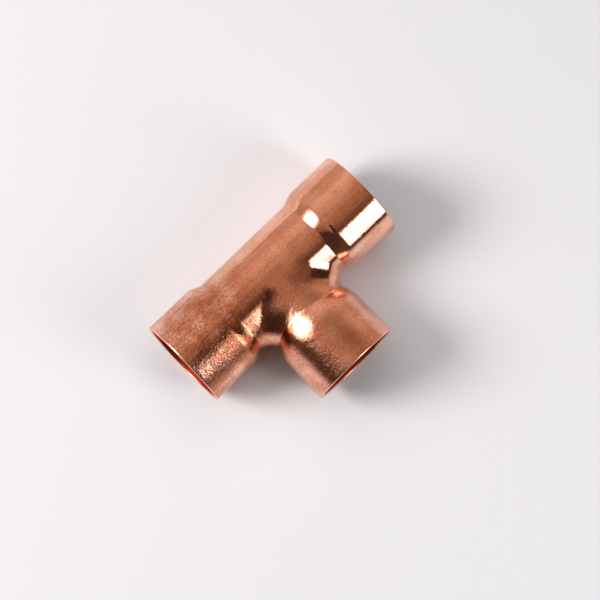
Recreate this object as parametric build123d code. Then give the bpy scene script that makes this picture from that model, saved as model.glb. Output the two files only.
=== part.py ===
from build123d import *
import math
import os

# Wrought copper solder tee, equal, 1/2 in nominal: a run with a cup at each end and a branch square to it.
# The whole fitting is one seamless piece of drawn copper tube. Millimetres.
#
# Row frame: +X along the run towards cup A, +Y along the branch towards its mouth, +Z up.
# The fitting lies flat on its three cups, and the origin is under the middle of its outline on that surface.
# The profiles are drawn about the point where the two tube axes cross, and moved to the row frame last.

# The tube that a cup takes, and how it fits
TUBE_DIAMETER = 15.88          # outside diameter of 1/2 in nominal copper water tube
SOLDER_CLEARANCE = 0.05        # radial gap that the solder fills
STOP_STEP = 0.84               # how far the body's bore stands inside the tube's surface, to stop the tube

# Walls
CUP_WALL = 0.76
BODY_WALL = 0.80
NECK_STEP = 0.05               # the branch is drawn out of the run this much smaller in radius

# Lengths along each leg, outwards from the saddle where run and branch meet
SADDLE_RADIUS = 1.7            # outside radius in the crook between run and branch
LAND_A, SHOULDER_A, CUP_A = 0.45, 2.5, 9.5
LAND_B, SHOULDER_B, CUP_B = 0.75, 2.8, 8.9
LAND_C, SHOULDER_C, CUP_C = 0.05, 3.4, 8.25

# Shape of a shoulder: it leaves the tube in a crease at this angle, and eases into the cup over a part of its length
CREASE_ANGLE = 22.0
CREASE_HANDLE = 0.55
SHOULDER_EASE = 0.25

# Broken edges of a mouth
RIM_ROUND_OUTSIDE = 0.22
RIM_ROUND_INSIDE = 0.18

# Radii that follow
CUP_BORE = TUBE_DIAMETER / 2 + SOLDER_CLEARANCE
CUP_OUTSIDE = CUP_BORE + CUP_WALL
BODY_BORE = TUBE_DIAMETER / 2 - STOP_STEP
BODY_OUTSIDE = BODY_BORE + BODY_WALL
NECK_BORE = BODY_BORE - NECK_STEP
NECK_OUTSIDE = BODY_OUTSIDE - NECK_STEP

# Stations along the legs that follow: where each shoulder starts, measured from the crossing of the axes
SHOULDER_START_A = NECK_OUTSIDE + SADDLE_RADIUS + LAND_A
SHOULDER_START_B = NECK_OUTSIDE + SADDLE_RADIUS + LAND_B
SHOULDER_START_C = BODY_OUTSIDE + SADDLE_RADIUS + LAND_C
END_A = SHOULDER_START_A + SHOULDER_A + CUP_A
END_B = SHOULDER_START_B + SHOULDER_B + CUP_B
END_C = SHOULDER_START_C + SHOULDER_C + CUP_C

CUTTER_OVERRUN = 1.0           # how far the hollow's cutter runs past a mouth


def leg(tube_radius, cup_radius, shoulder_start, shoulder_length, end):
    """A solid leg along +Z: tube, shoulder and cup, turned about the axis, from the crossing to end."""
    shoulder_end = shoulder_start + shoulder_length
    handle = CREASE_HANDLE * shoulder_length
    profile = Polyline((0, 0), (tube_radius, 0), (tube_radius, shoulder_start))
    profile += Bezier(
        (tube_radius, shoulder_start),
        (tube_radius + handle * math.tan(math.radians(CREASE_ANGLE)), shoulder_start + handle),
        (cup_radius, shoulder_end - SHOULDER_EASE * shoulder_length),
        (cup_radius, shoulder_end),
    )
    profile += Polyline((cup_radius, shoulder_end), (cup_radius, end), (0, end), (0, 0))
    return revolve(Plane.XZ * make_face(profile), Axis.Z)


def three_legs(body_radius, neck_radius, cup_radius, saddle_radius, overrun):
    """Both run legs and the branch as one solid, with the saddle between run and branch rounded."""
    run_a = leg(body_radius, cup_radius, SHOULDER_START_A, SHOULDER_A, END_A + overrun)
    run_b = leg(body_radius, cup_radius, SHOULDER_START_B, SHOULDER_B, END_B + overrun)
    branch = leg(neck_radius, cup_radius, SHOULDER_START_C, SHOULDER_C, END_C + overrun)
    run = Rot(0, 90, 0) * run_a + Rot(0, -90, 0) * run_b
    whole = run + Rot(-90, 0, 0) * branch
    return fillet(saddle_edges(whole, body_radius), saddle_radius)


def saddle_edges(solid, body_radius):
    """The edges where the branch meets the run: the only ones on the run's tube that aren't round about X."""
    found = []
    for edge in solid.edges():
        on_tube = all(abs((edge @ t).Y ** 2 + (edge @ t).Z ** 2 - body_radius ** 2) < 0.01 for t in (0, 0.3, 0.7))
        along = [(edge @ t).X for t in (0, 0.3, 0.7)]
        if on_tube and max(along) - min(along) > 1 and edge.geom_type != GeomType.LINE:
            found.append(edge)
    return found


def rim_edges(solid, radius):
    """The three round mouth edges of the given radius, one at the end of each leg."""
    found = []
    for edge in solid.edges().filter_by(GeomType.CIRCLE):
        centre = edge.arc_center
        at_end = any(abs(gap) < 0.001 for gap in (centre.X - END_A, centre.X + END_B, centre.Y - END_C))
        if at_end and abs(edge.radius - radius) < 0.001:
            found.append(edge)
    return found


def copper_tee_body():
    """The fitting: the outside less the waterway, with every mouth's edges broken."""
    outside = three_legs(BODY_OUTSIDE, NECK_OUTSIDE, CUP_OUTSIDE, SADDLE_RADIUS, 0)
    waterway = three_legs(BODY_BORE, NECK_BORE, CUP_BORE, SADDLE_RADIUS + BODY_WALL, CUTTER_OVERRUN)
    tee = outside - waterway
    tee = fillet(rim_edges(tee, CUP_OUTSIDE), RIM_ROUND_OUTSIDE)
    return fillet(rim_edges(tee, CUP_BORE), RIM_ROUND_INSIDE)


# From the crossing of the axes to the origin under the middle of the outline
TO_ROW_FRAME = Pos((END_B - END_A) / 2, (CUP_OUTSIDE - END_C) / 2, CUP_OUTSIDE)

os.makedirs("parts", exist_ok=True)
export_step(TO_ROW_FRAME * copper_tee_body(), "parts/copper_tee_body.step")
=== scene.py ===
import math

import bmesh
import bpy
import numpy as np
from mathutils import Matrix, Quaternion, Vector, noise


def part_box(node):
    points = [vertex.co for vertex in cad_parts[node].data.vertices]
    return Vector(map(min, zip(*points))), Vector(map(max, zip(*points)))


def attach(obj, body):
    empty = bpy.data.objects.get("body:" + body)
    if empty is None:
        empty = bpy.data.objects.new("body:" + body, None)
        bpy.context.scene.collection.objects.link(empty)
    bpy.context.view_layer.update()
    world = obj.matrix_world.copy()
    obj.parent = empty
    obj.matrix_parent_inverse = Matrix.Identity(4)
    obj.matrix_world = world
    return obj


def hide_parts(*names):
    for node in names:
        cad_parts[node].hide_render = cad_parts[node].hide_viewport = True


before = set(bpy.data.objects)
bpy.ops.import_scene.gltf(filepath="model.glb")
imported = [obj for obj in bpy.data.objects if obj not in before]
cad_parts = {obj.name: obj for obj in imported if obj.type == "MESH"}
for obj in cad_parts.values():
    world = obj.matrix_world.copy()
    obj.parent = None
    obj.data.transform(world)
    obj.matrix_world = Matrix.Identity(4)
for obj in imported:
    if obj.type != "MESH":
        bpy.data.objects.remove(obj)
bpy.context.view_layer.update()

# A wrought copper solder tee in bright, unused copper, lying on a pale table under studio light.
# Shapes are worked out in millimetres about the point where the tube axes cross, then moved to the
# row frame.
MM = 0.001
FITTING = "copper_tee_body"

# ---------------------------------------------------------------- sizes, from the frame and from the model
fitting_low, fitting_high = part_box(FITTING)
CUP_OUTSIDE = (fitting_high.z - fitting_low.z) / 2 / MM
END_RUN = (fitting_high.x - fitting_low.x) / 2 / MM
END_BRANCH = (fitting_high.y - fitting_low.y) / MM - CUP_OUTSIDE
CROSSING = Vector((0, fitting_low.y / MM + CUP_OUTSIDE, CUP_OUTSIDE))    # in the row frame

CUP_WALL = 0.76
BODY_WALL = 0.80
BODY_OUTSIDE = 7.90
NECK_STEP = 0.05
SADDLE_RADIUS = 2.2            # how far out the drawn saddle starts to blend run and branch, in the crook
SADDLE_SWELL = 0.9             # how much farther it starts on the flanks above and below the crook
SADDLE_FADE = 0.75             # power by which it narrows towards the top and bottom of the fitting
RIM_ROUND_OUTSIDE = 0.22
RIM_ROUND_INSIDE = 0.18

# Each leg: its axis, the side that its first half turn faces, where its shoulder starts from the crossing,
# the shoulder's length, and the mouth. A shoulder leaves the tube in a crease of so many degrees, holds that
# over the handle and eases into the cup over the ease, both as shares of its length. The bow is how far
# inwards the crease swings on the side of cup A.
LEG_A = {"along": (1, 0, 0), "side": (0, 1, 0), "start": 10.0, "shoulder": 2.5, "end": END_RUN,
         "crease": 12, "handle": 0.30, "ease": 0.25, "bow": 0}
LEG_B = {"along": (-1, 0, 0), "side": (0, 1, 0), "start": 10.3, "shoulder": 2.8, "end": END_RUN,
         "crease": 22, "handle": 0.55, "ease": 0.25, "bow": 0}
LEG_C = {"along": (0, 1, 0), "side": (1, 0, 0), "start": 9.65, "shoulder": 3.4, "end": END_BRANCH,
         "crease": 27, "handle": 0.25, "ease": 0.50, "bow": 1.3}
BOW_MIDDLE, BOW_REACH = 22, 45     # degrees round the branch from its top towards cup A

# Where the wall sinks a little beside the branch, on both faces of the fitting
SINK_DEPTH = 0.32
SINK_MIDDLE = (3.0, 6.5)       # along the run and along the branch
SINK_REACH = 3.6

CURVE_STEPS = 400              # points along a shoulder's curve


# ---------------------------------------------------------------- the wall's two surfaces as fields
def crease_station(leg, across, height):
    """Where a leg's crease lies, round the leg."""
    turn = np.degrees(np.arctan2(across, np.abs(height)))
    return leg["start"] - leg["bow"] * np.exp(-((turn - BOW_MIDDLE) / BOW_REACH) ** 2)


def leg_radius(along, leg, start, tube, cup):
    """Radius of a leg at distances along its axis: tube, a crease, an eased shoulder, cup."""
    rise = cup - tube
    lift = leg["handle"] * leg["shoulder"] * math.tan(math.radians(leg["crease"]))
    controls = np.array([(0, 0), (leg["handle"], lift), (1 - leg["ease"], rise), (1, rise)])
    t = np.linspace(0, 1, CURVE_STEPS)[:, None]
    curve = ((1 - t) ** 3 * controls[0] + 3 * (1 - t) ** 2 * t * controls[1]
             + 3 * (1 - t) * t ** 2 * controls[2] + t ** 3 * controls[3])
    share = (along - start) / (leg["start"] + leg["shoulder"] - start)
    return tube + np.interp(share, curve[:, 0], curve[:, 1])


def surface_field(p, tube, neck, cup, saddle):
    """Signed distance, near enough, to a tee of these radii, with the saddle rounded."""
    x, y, z = p[:, 0], p[:, 1], p[:, 2]
    run_radius = np.where(
        x > 0,
        leg_radius(x, LEG_A, LEG_A["start"], tube, cup),
        leg_radius(-x, LEG_B, LEG_B["start"], tube, cup),
    )
    from_run = np.hypot(y, z)
    from_branch = np.sqrt(x ** 2 + z ** 2 + np.minimum(y, 0) ** 2)
    to_run = from_run - run_radius
    to_branch = from_branch - leg_radius(y, LEG_C, crease_station(LEG_C, x, z), neck, cup)
    facing = np.clip(1 - z ** 2 / np.maximum(from_run * from_branch, 1e-9), 0, 1)
    swell = SADDLE_SWELL * 4 * facing * (1 - facing)
    blend = np.where(y > 0, saddle * facing ** SADDLE_FADE + swell, 0.0)
    hollow = np.hypot(np.maximum(blend - to_run, 0), np.maximum(blend - to_branch, 0))
    from_sink = (x - SINK_MIDDLE[0]) ** 2 + (y - SINK_MIDDLE[1]) ** 2
    sink = SINK_DEPTH * np.exp(-from_sink / SINK_REACH ** 2) * np.minimum(np.abs(z) / tube, 1)
    return np.maximum(blend, np.minimum(to_run, to_branch)) - hollow + sink


def slope(field, p, step=1e-4):
    """The field's gradient by central differences."""
    parts = []
    for axis in np.eye(3) * step:
        parts.append((field(p + axis) - field(p - axis)) / (2 * step))
    return np.stack(parts, 1)


def settle(field, p, rounds=5):
    """Moves points along the gradient until they lie on the field's surface."""
    for _ in range(rounds):
        g = slope(field, p)
        p = p - g * (field(p) / np.maximum((g ** 2).sum(1), 1e-9))[:, None]
    return p


# ---------------------------------------------------------------- the wall as one closed quad mesh
COLUMNS = 192                  # round a leg; a multiple of four
OUTSIDE_ROWS = (40, 16, 30)    # from the seam to the crease, over the shoulder, along the cup
BORE_ROWS = (26, 8, 16)
ROUND_ROWS = 4                 # over each broken edge of a mouth
SEAM_MERGE = 0.002             # points nearer than this are one, where the legs meet
UP = np.array([0.0, 0.0, 1.0])
TURN = np.arange(COLUMNS) * 2 * math.pi / COLUMNS

OUTSIDE = {
    "tube": BODY_OUTSIDE,
    "neck": BODY_OUTSIDE - NECK_STEP,
    "cup": CUP_OUTSIDE,
    "saddle": SADDLE_RADIUS,
}
BORE = {
    "tube": BODY_OUTSIDE - BODY_WALL,
    "neck": BODY_OUTSIDE - BODY_WALL - NECK_STEP,
    "cup": CUP_OUTSIDE - CUP_WALL,
    "saddle": SADDLE_RADIUS + BODY_WALL,
}
OUTSIDE_SLOT, MOUTH_SLOT, BORE_SLOT = 0, 1, 2


def ring_points(leg, stations, radii):
    """Points at each row's stations and radii, rows by columns."""
    along = stations[:, :, None] * leg["along"]
    across = (radii * np.sin(TURN))[:, :, None] * leg["side"]
    height = (radii * np.cos(TURN))[:, :, None] * UP
    return along + across + height


def surface_rows(leg, skin, counts, stop):
    """One leg of one of the wall's two surfaces, from the seam with the other legs to stop."""
    junction, shoulder, cup = counts
    tube = skin["neck"] if leg is LEG_C else skin["tube"]
    start = crease_station(leg, np.sin(TURN), np.cos(TURN))
    top = leg["start"] + leg["shoulder"]
    across = skin["tube"] * np.sin(TURN)
    seam = np.abs(across) if leg is LEG_C else np.maximum(across, 0)
    share = np.linspace(0, 1, junction + 1)[:, None]
    inner = seam + (start - seam) * share
    over = np.linspace(start, np.full(COLUMNS, top), shoulder + 1)[1:]
    outer = np.repeat(np.linspace(top, stop, cup + 1)[1:, None], COLUMNS, 1)
    stations = np.concatenate([inner, over, outer])
    radii = leg_radius(stations, leg, start, tube, skin["cup"])
    radii[0] = skin["tube"]    # the legs share their seam's points
    points = ring_points(leg, stations, radii).reshape(-1, 3)
    settled = settle(lambda p: surface_field(p, **skin), points)
    return settled.reshape(len(stations), COLUMNS, 3)


def mouth_rows(leg):
    """The rows over a mouth's broken outside edge, its flat end and its broken inside edge."""
    quarter = np.linspace(0, math.pi / 2, ROUND_ROWS + 1)
    outer, inner = quarter[1:], quarter[:-1]
    stations = np.concatenate([
        leg["end"] - RIM_ROUND_OUTSIDE * (1 - np.sin(outer)),
        leg["end"] - RIM_ROUND_INSIDE * (1 - np.cos(inner)),
    ])
    radii = np.concatenate([
        CUP_OUTSIDE - RIM_ROUND_OUTSIDE * (1 - np.cos(outer)),
        BORE["cup"] + RIM_ROUND_INSIDE * (1 - np.sin(inner)),
    ])
    return ring_points(leg, np.repeat(stations[:, None], COLUMNS, 1), radii[:, None])


def leg_sheet(leg):
    """All rows of a leg, out along the outside, over the mouth and back along the bore, and their slots."""
    outside = surface_rows(leg, OUTSIDE, OUTSIDE_ROWS, leg["end"] - RIM_ROUND_OUTSIDE)
    mouth = mouth_rows(leg)
    bore = surface_rows(leg, BORE, BORE_ROWS, leg["end"] - RIM_ROUND_INSIDE)[::-1]
    slots = [OUTSIDE_SLOT] * (len(outside) - 1)
    slots += [MOUTH_SLOT] * (len(mouth) + 1)
    slots += [BORE_SLOT] * (len(bore) - 1)
    return np.concatenate([outside, mouth, bore]), slots


def sheet_faces(first, rows):
    """Quads between neighbouring rows of a grid whose first vertex has the index first."""
    row = np.arange(rows - 1)[:, None] * COLUMNS
    column = np.arange(COLUMNS)
    following = (column + 1) % COLUMNS
    corners = [row + column, row + following, row + COLUMNS + following, row + COLUMNS + column]
    return (first + np.stack(corners, 2)).reshape(-1, 4)


def build_wall():
    """The tee's whole wall as one closed mesh object in the row frame."""
    points = []
    faces = []
    slots = []
    first = 0
    for leg in (LEG_A, LEG_B, LEG_C):
        rows, row_slots = leg_sheet(leg)
        points.append(rows.reshape(-1, 3))
        faces.append(sheet_faces(first, len(rows)))
        slots += list(np.repeat(row_slots, COLUMNS))
        first += rows.shape[0] * COLUMNS
    mesh = bpy.data.meshes.new("copper_tee")
    placed = (np.concatenate(points) + np.array(CROSSING)) * MM
    mesh.from_pydata(placed.tolist(), [], np.concatenate(faces).tolist())
    mesh.polygons.foreach_set("material_index", slots)
    work = bmesh.new()
    work.from_mesh(mesh)
    bmesh.ops.remove_doubles(work, verts=work.verts, dist=SEAM_MERGE * MM)
    bmesh.ops.recalc_face_normals(work, faces=work.faces)
    weather(work)
    work.to_mesh(mesh)
    work.free()
    mesh.shade_smooth()
    tee = bpy.data.objects.new("copper_tee", mesh)
    bpy.context.collection.objects.link(tee)
    return tee


# ---------------------------------------------------------------- unevenness left by press and draw bench
BRANCH_TURN = 3.0              # width of the band over which run turns into branch
SWELL = 0.060                  # deepest of the long shallow waves in the wall, on cup A
SWELL_LEAST = 0.3              # share of that which the waves have at cup B
SWELL_TURN = 8.0               # how far each side of the branch they grow
SWELL_RATE = 0.16              # waves to a millimetre, roughly
FLUTE = 0.006                  # deepest of the drawn flutes along a leg
FLUTE_ALONG, FLUTE_ACROSS = 0.06, 0.55     # flutes to a millimetre, roughly
CUT_WANDER = 0.05              # how far a sawn mouth wanders from square
CUT_REACH = 1.5                # how far in from the mouth the wall is moved with it
CUT_RATE = 0.12                # waves of that wander to a millimetre, roughly
SWELL_SEED = Vector((7, 3, 11))
CUT_SEED = Vector((31, 17, 5))
FLUTE_SEED = 40                # sets the branch's flutes apart from the run's


def towards_branch(p):
    """0 on the run and 1 on the branch, turning over where the two meet."""
    share = min(max((p.y - abs(p.x)) / BRANCH_TURN + 0.5, 0), 1)
    return share * share * (3 - 2 * share)


def wave(p, rates, shift=Vector()):
    """Smooth noise from 0 to 1 at a point, with its own rate along each axis."""
    place = Vector((p.x * rates[0], p.y * rates[1], p.z * rates[2]))
    return 0.5 + 0.5 * noise.noise(place + shift)


def weather(work):
    """Presses the mesh inwards a little, unevenly, and cuts its mouths slightly off square."""
    moved = []
    for vertex in work.verts:
        p = vertex.co / MM - CROSSING
        share = towards_branch(p)
        run_flute = wave(p, (FLUTE_ALONG, FLUTE_ACROSS, FLUTE_ACROSS))
        branch_flute = wave(p, (FLUTE_ACROSS, FLUTE_ALONG, FLUTE_ACROSS), Vector((0, 0, FLUTE_SEED)))
        flute = run_flute * (1 - share) + branch_flute * share
        swell = wave(p, (SWELL_RATE, SWELL_RATE, SWELL_RATE), SWELL_SEED)
        towards_a = min(max((p.x + SWELL_TURN) / (2 * SWELL_TURN), 0), 1)
        swell_share = SWELL_LEAST + (1 - SWELL_LEAST) * towards_a
        depth = SWELL * swell_share * swell + FLUTE * flute
        moved.append((vertex, p, vertex.normal * -depth))
    for vertex, p, shift in moved:
        vertex.co += shift * MM
        for leg in (LEG_A, LEG_B, LEG_C):
            along = Vector(leg["along"])
            reach = p.dot(along) - (leg["end"] - CUT_REACH)
            if reach > 0:
                wander = CUT_WANDER * wave(p, (CUT_RATE, CUT_RATE, CUT_RATE), CUT_SEED)
                vertex.co -= along * (wander * reach / CUT_REACH) * MM


# ---------------------------------------------------------------- camera and light
CAMERA_AIM = Vector((-0.0008, -0.0001, 0.00875))
CAMERA_AZIMUTH, CAMERA_ELEVATION, CAMERA_ROLL = 127.6, 82.6, 8.2
CAMERA_DISTANCE = 0.460
CAMERA_LENS = 156


def direction(azimuth, elevation):
    """Unit vector towards an azimuth, 0 being -Y and 90 being +X, and an elevation, in degrees."""
    a = math.radians(azimuth)
    e = math.radians(elevation)
    return Vector((math.sin(a) * math.cos(e), -math.cos(a) * math.cos(e), math.sin(e)))


def make_camera():
    camera = bpy.data.objects.new("camera", bpy.data.cameras.new("camera"))
    bpy.context.collection.objects.link(camera)
    back = direction(CAMERA_AZIMUTH, CAMERA_ELEVATION)
    camera.location = CAMERA_AIM + back * CAMERA_DISTANCE
    turn = (-back).to_track_quat("-Z", "Y") @ Quaternion((0, 0, 1), math.radians(CAMERA_ROLL))
    camera.rotation_euler = turn.to_euler()
    camera.data.lens = CAMERA_LENS
    camera.data.clip_start = 0.01
    camera.data.clip_end = 20
    bpy.context.scene.camera = camera


def face_fitting(obj, azimuth, elevation, distance, upright=False):
    """Puts a lamp or card out in a direction from the fitting, square to it or standing upright."""
    obj.location = direction(azimuth, elevation) * distance
    facing = direction(azimuth, 0 if upright else elevation)
    obj.rotation_euler = facing.to_track_quat("Z", "Y").to_euler()


def lamp(name, azimuth, elevation, distance, size, radiance, colour, shape="RECTANGLE", upright=False):
    """An area lamp of a size across and up, in metres, with a radiance in scene units."""
    data = bpy.data.lights.new(name, "AREA")
    data.shape = shape
    data.size, data.size_y = size
    area = size[0] * size[1] * (math.pi / 4 if shape in ("DISK", "ELLIPSE") else 1)
    data.energy = radiance * area * math.pi
    data.color = colour
    obj = bpy.data.objects.new(name, data)
    bpy.context.collection.objects.link(obj)
    face_fitting(obj, azimuth, elevation, distance, upright)
    obj.visible_camera = False
    return obj


def flat_sheet(name, across, up):
    """A flat rectangle about its own middle, as a new object."""
    mesh = bpy.data.meshes.new(name)
    w = across / 2
    h = up / 2
    mesh.from_pydata([(-w, -h, 0), (w, -h, 0), (w, h, 0), (-w, h, 0)], [], [(0, 1, 2, 3)])
    obj = bpy.data.objects.new(name, mesh)
    bpy.context.collection.objects.link(obj)
    return obj


def card(name, azimuth, elevation, distance, size, colour):
    """A flat card that only reflections see: what stands round the table in a dim room."""
    obj = flat_sheet(name, *size)
    face_fitting(obj, azimuth, elevation, distance)
    material = bpy.data.materials.new(name)
    material.use_nodes = True
    nodes = material.node_tree.nodes
    nodes.clear()
    glow = nodes.new("ShaderNodeEmission")
    glow.inputs["Color"].default_value = (*colour, 1)
    output = nodes.new("ShaderNodeOutputMaterial")
    material.node_tree.links.new(glow.outputs[0], output.inputs["Surface"])
    obj.data.materials.append(material)
    obj.visible_camera = False
    obj.visible_diffuse = False
    obj.visible_shadow = False


FLOOR_SIZE = 6.0
FLOOR_COLOUR = (0.77, 0.753, 0.77)


def make_floor():
    floor = flat_sheet("floor", FLOOR_SIZE, FLOOR_SIZE)
    material = bpy.data.materials.new("pale_table")
    material.use_nodes = True
    shader = material.node_tree.nodes["Principled BSDF"]
    shader.inputs["Base Color"].default_value = (*FLOOR_COLOUR, 1)
    shader.inputs["Roughness"].default_value = 0.85
    shader.inputs["Specular IOR Level"].default_value = 0.1
    floor.data.materials.append(material)


ROOM_DARK = (0.10, 0.066, 0.048)
# Soft glows: azimuth, elevation, how far from there each is whole and where it ends, in degrees, and colour
ROOM_GLOWS = [
    (340, 12, 20, 78, (0.56, 0.45, 0.38)),    # the bright wall beyond the run's back
    (264, 8, 12, 42, (0.36, 0.25, 0.18)),     # a paler wall past cup B
    (320, 72, 15, 60, (0.13, 0.075, 0.045)),  # the ceiling
    (95, 76, 10, 34, (0.26, 0.18, 0.135)),    # its lit part above the camera
]


def make_room():
    """A dim warm room that only reflections see: the lamps light the table."""
    world = bpy.data.worlds.new("room")
    world.use_nodes = True
    g = Graph(world.node_tree)
    place = g.node("ShaderNodeTexCoord").outputs["Generated"]
    dark = g.node("ShaderNodeCombineXYZ", i0=ROOM_DARK[0], i1=ROOM_DARK[1], i2=ROOM_DARK[2])
    colour = dark.outputs[0]
    for azimuth, elevation, whole, end, glow in ROOM_GLOWS:
        middle = direction(azimuth, elevation)
        towards = g.node("ShaderNodeVectorMath", {"operation": "DOT_PRODUCT"}, i0=place, i1=middle)
        nearness = towards.outputs["Value"]
        share = g.span(nearness, math.cos(math.radians(end)), math.cos(math.radians(whole)))
        colour = g.vectors("MULTIPLY_ADD", share, glow, colour)
    g.put(world.node_tree.nodes["Background"].inputs["Color"], colour)
    world.cycles_visibility.diffuse = False
    bpy.context.scene.world = world


def make_light():
    # azimuth, elevation, distance, size across and up, a lamp's radiance, colour
    lamp("key", 47, 40, 0.6, (0.26, 0.26), 15.8, (1.0, 0.98, 0.97), "DISK")
    lamp("key_edge", 47, 40, 0.61, (0.36, 0.36), 1.6, (1.0, 0.98, 0.96), "DISK")
    lamp("key_rim", 47, 39, 0.62, (0.50, 0.50), 0.75, (1.0, 0.98, 0.96), "DISK")
    lamp("softbox", 202.5, 36, 0.33, (0.123, 0.265), 4.9, (1.0, 1.0, 1.0), upright=True)
    fill = lamp("fill", 330, 70, 0.7, (0.8, 0.8), 1.25, (0.985, 0.985, 1.0))
    fill.visible_glossy = False
    card("photographer", 128, 34, 0.45, (0.40, 0.42), (0.065, 0.045, 0.036))
    card("photographer_near", 101, 18, 0.45, (0.14, 0.20), (0.10, 0.06, 0.045))
    card("boom", 168, 71, 0.45, (0.11, 0.175), (0.03, 0.02, 0.015))
    card("dark_side", 232, 27, 0.45, (0.20, 0.36), (0.05, 0.032, 0.024))
    make_room()
    bpy.context.scene.view_settings.view_transform = "Standard"


# ---------------------------------------------------------------- node trees
class Graph:
    """Adds nodes to a tree and links them as it goes: an input is a number, a vector or a socket."""

    def __init__(self, tree):
        self.tree = tree

    def put(self, socket, value):
        if isinstance(value, bpy.types.NodeSocket):
            self.tree.links.new(value, socket)
        else:
            socket.default_value = value

    def node(self, kind, settings=None, **inputs):
        """A node with these settings. An input is named, or numbered as i0, i1 and so on."""
        made = self.tree.nodes.new(kind)
        for key, value in (settings or {}).items():
            setattr(made, key, value)
        for key, value in inputs.items():
            place = int(key[1:]) if key[1:].isdigit() else key
            self.put(made.inputs[place], value)
        return made

    def maths(self, operation, first, second=0.0, third=0.0):
        made = self.node("ShaderNodeMath", {"operation": operation}, i0=first, i1=second, i2=third)
        return made.outputs[0]

    def vectors(self, operation, first, second=(0, 0, 0), third=(0, 0, 0)):
        made = self.node("ShaderNodeVectorMath", {"operation": operation}, i0=first, i1=second)
        if operation == "MULTIPLY_ADD":
            self.put(made.inputs[2], third)
        return made.outputs[0]

    def total(self, *shares):
        """The sum of (value, weight) pairs."""
        result = 0.0
        for value, weight in shares:
            result = self.maths("MULTIPLY_ADD", value, weight, result)
        return result

    def span(self, value, low, high, to_low=0.0, to_high=1.0):
        """Maps low..high to to_low..to_high with a smooth start and stop."""
        made = self.node("ShaderNodeMapRange", {"interpolation_type": "SMOOTHSTEP"}, Value=value)
        for key, number in (("From Min", low), ("From Max", high), ("To Min", to_low), ("To Max", to_high)):
            self.put(made.inputs[key], number)
        return made.outputs["Result"]

    def noise(self, vector, feature, detail=2.0, roughness=0.5):
        """Noise whose features are about so many metres across, 0 to 1."""
        made = self.node("ShaderNodeTexNoise", Vector=vector, Scale=1 / feature)
        self.put(made.inputs["Detail"], detail)
        self.put(made.inputs["Roughness"], roughness)
        return made.outputs["Fac"]

    def blend(self, share, first, second):
        """A colour or vector between two, by share."""
        made = self.node("ShaderNodeMix", {"data_type": "RGBA"})
        self.put(made.inputs["Factor"], share)
        self.put(made.inputs[6], (*first, 1) if isinstance(first, tuple) else first)
        self.put(made.inputs[7], (*second, 1) if isinstance(second, tuple) else second)
        return made.outputs[2]


# ---------------------------------------------------------------- materials
GRAIN_STRETCH = 0.035          # drawn streaks are this much finer across the run than along it
STREAK_ON_BRANCH = 0.15        # how much of them is left on the branch

# Sizes of the features, in metres
CLOUD = 0.0045
DENT = 0.0021
BAND = 0.0024
LINE = 0.00055
SPECK = 0.00034
PEEL = 0.00030

TONE_SPAN = (0.40, 0.60)       # the middle of the summed noise, from the dark tone to the light one
STAIN_SPAN = (0.62, 0.40)      # and from no stain to a whole one
WORN_SPAN = (0.004, 0.019)     # from unworn to worn, in metres past the branch towards cup A
WORN_WANDER = 0.012            # how far clouds move that
BRANCH_END = 0.006             # how far past the turn the branch's own skin is whole
BRANCH_COARSE = 0.85           # how coarse the branch is, where cup A is 1


def leg_coordinates(g):
    """Coordinates about the crossing, their x, the same squeezed along the run, and 0 to 1 on the branch."""
    place = g.node("ShaderNodeTexCoord").outputs["Object"]
    p = g.vectors("SUBTRACT", place, CROSSING * MM)
    split = g.node("ShaderNodeSeparateXYZ", i0=p)
    x, y = split.outputs[0], split.outputs[1]
    past = g.maths("SUBTRACT", y, g.maths("ABSOLUTE", x))
    on_branch = g.span(past, 0.0, BRANCH_END)
    along_run = g.vectors("MULTIPLY", p, (GRAIN_STRETCH, 1, 1))
    return p, x, along_run, on_branch


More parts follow.
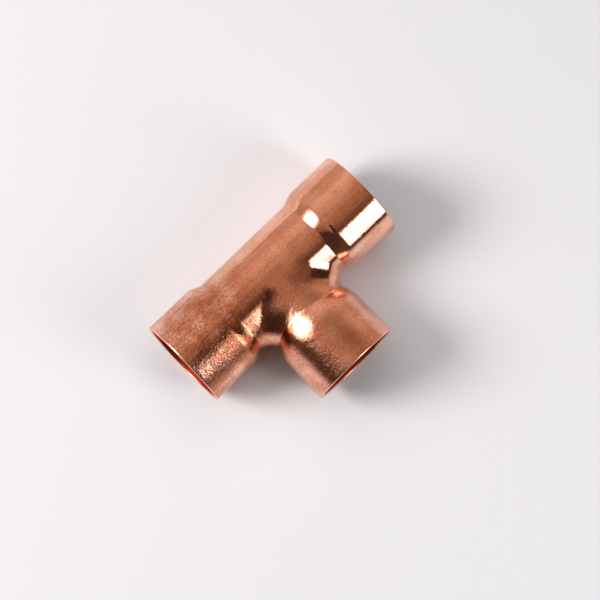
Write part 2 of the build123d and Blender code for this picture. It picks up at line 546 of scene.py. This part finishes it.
def copper(name, dark, light, stain, polish, grain, streak):
    """Bare copper: tone in clouds, streaks and specks, stains and wear towards cup A, orange-peel grain.
    polish is the roughness of the best and the dullest places; grain and streak are depths in metres."""
    material = bpy.data.materials.new(name)
    material.use_nodes = True
    shader = material.node_tree.nodes["Principled BSDF"]
    shader.inputs["Metallic"].default_value = 1.0
    g = Graph(material.node_tree)
    p, x, along_run, on_branch = leg_coordinates(g)
    clouds = g.noise(p, CLOUD, 3)
    dents = g.noise(p, DENT, 1)
    bands = g.noise(along_run, BAND, 2)
    lines = g.noise(along_run, LINE, 3, 0.65)
    specks = g.noise(p, SPECK, 2, 0.7)
    peel = g.noise(p, PEEL, 3, 0.6)

    worn = g.span(g.total((x, 1.0), (clouds, WORN_WANDER)), *WORN_SPAN)
    coarse = g.maths("MAXIMUM", worn, g.maths("MULTIPLY", on_branch, BRANCH_COARSE))
    uneven = g.maths("SUBTRACT", g.total((bands, 0.5), (lines, 0.5)), 0.5)
    streak_share = g.span(on_branch, 0, 1, 1, STREAK_ON_BRANCH)
    streaks = g.maths("MULTIPLY_ADD", uneven, streak_share, 0.5)

    tone = g.total((clouds, 0.38), (streaks, 0.30), (specks, 0.32))
    light_share = g.span(tone, *TONE_SPAN)
    clean = g.blend(light_share, dark, light)
    stained = g.maths("MULTIPLY", worn, g.span(tone, *STAIN_SPAN))
    g.put(shader.inputs["Base Color"], g.blend(stained, clean, stain))
    dull = g.total((coarse, 0.6), (light_share, 0.4))
    g.put(shader.inputs["Roughness"], g.span(dull, 0.0, 1.0, *polish))

    depth = g.total((coarse, 1.6), (1.0, 0.5))
    rough_skin = g.maths("MULTIPLY", g.total((peel, grain), (dents, grain)), depth)
    height = g.total((rough_skin, 1.0), (streaks, streak * 3))
    bump = g.node("ShaderNodeBump", Strength=1.0, Distance=1.0, Height=height)
    g.put(shader.inputs["Normal"], bump.outputs["Normal"])
    return material


def drawn_copper():
    """The outside, as drawn and pressed."""
    return copper(
        "drawn_copper", dark=(0.76, 0.32, 0.19), light=(0.98, 0.54, 0.40), stain=(0.50, 0.17, 0.08),
        polish=(0.06, 0.13), grain=27.0e-6, streak=2.0e-6,
    )


def cut_copper():
    """The sawn mouths."""
    return copper(
        "cut_copper", dark=(0.90, 0.48, 0.34), light=(0.97, 0.60, 0.46), stain=(0.80, 0.38, 0.25),
        polish=(0.20, 0.32), grain=4.0e-6, streak=0.5e-6,
    )


def bore_copper_painted_shade():
    """The dull inside. Its deep red is painted shade and painted red interreflection from light bounced
    round inside the bore, darker and redder than the copper itself.
    """
    return copper(
        "bore_copper_painted_shade", dark=(0.50, 0.045, 0.018), light=(0.68, 0.095, 0.042), stain=(0.42, 0.03, 0.012),
        polish=(0.40, 0.52), grain=8.0e-6, streak=2.0e-6,
    )


def finish_tee(tee):
    """One material for each slot, in the order of OUTSIDE_SLOT, MOUTH_SLOT and BORE_SLOT."""
    # the bore's material has painted shade and red interreflection in its colour
    for material in (drawn_copper(), cut_copper(), bore_copper_painted_shade()):
        tee.data.materials.append(material)


# ---------------------------------------------------------------- making it
tee = build_wall()
finish_tee(tee)
make_floor()
make_light()
make_camera()

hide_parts(FITTING)
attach(tee, "root")
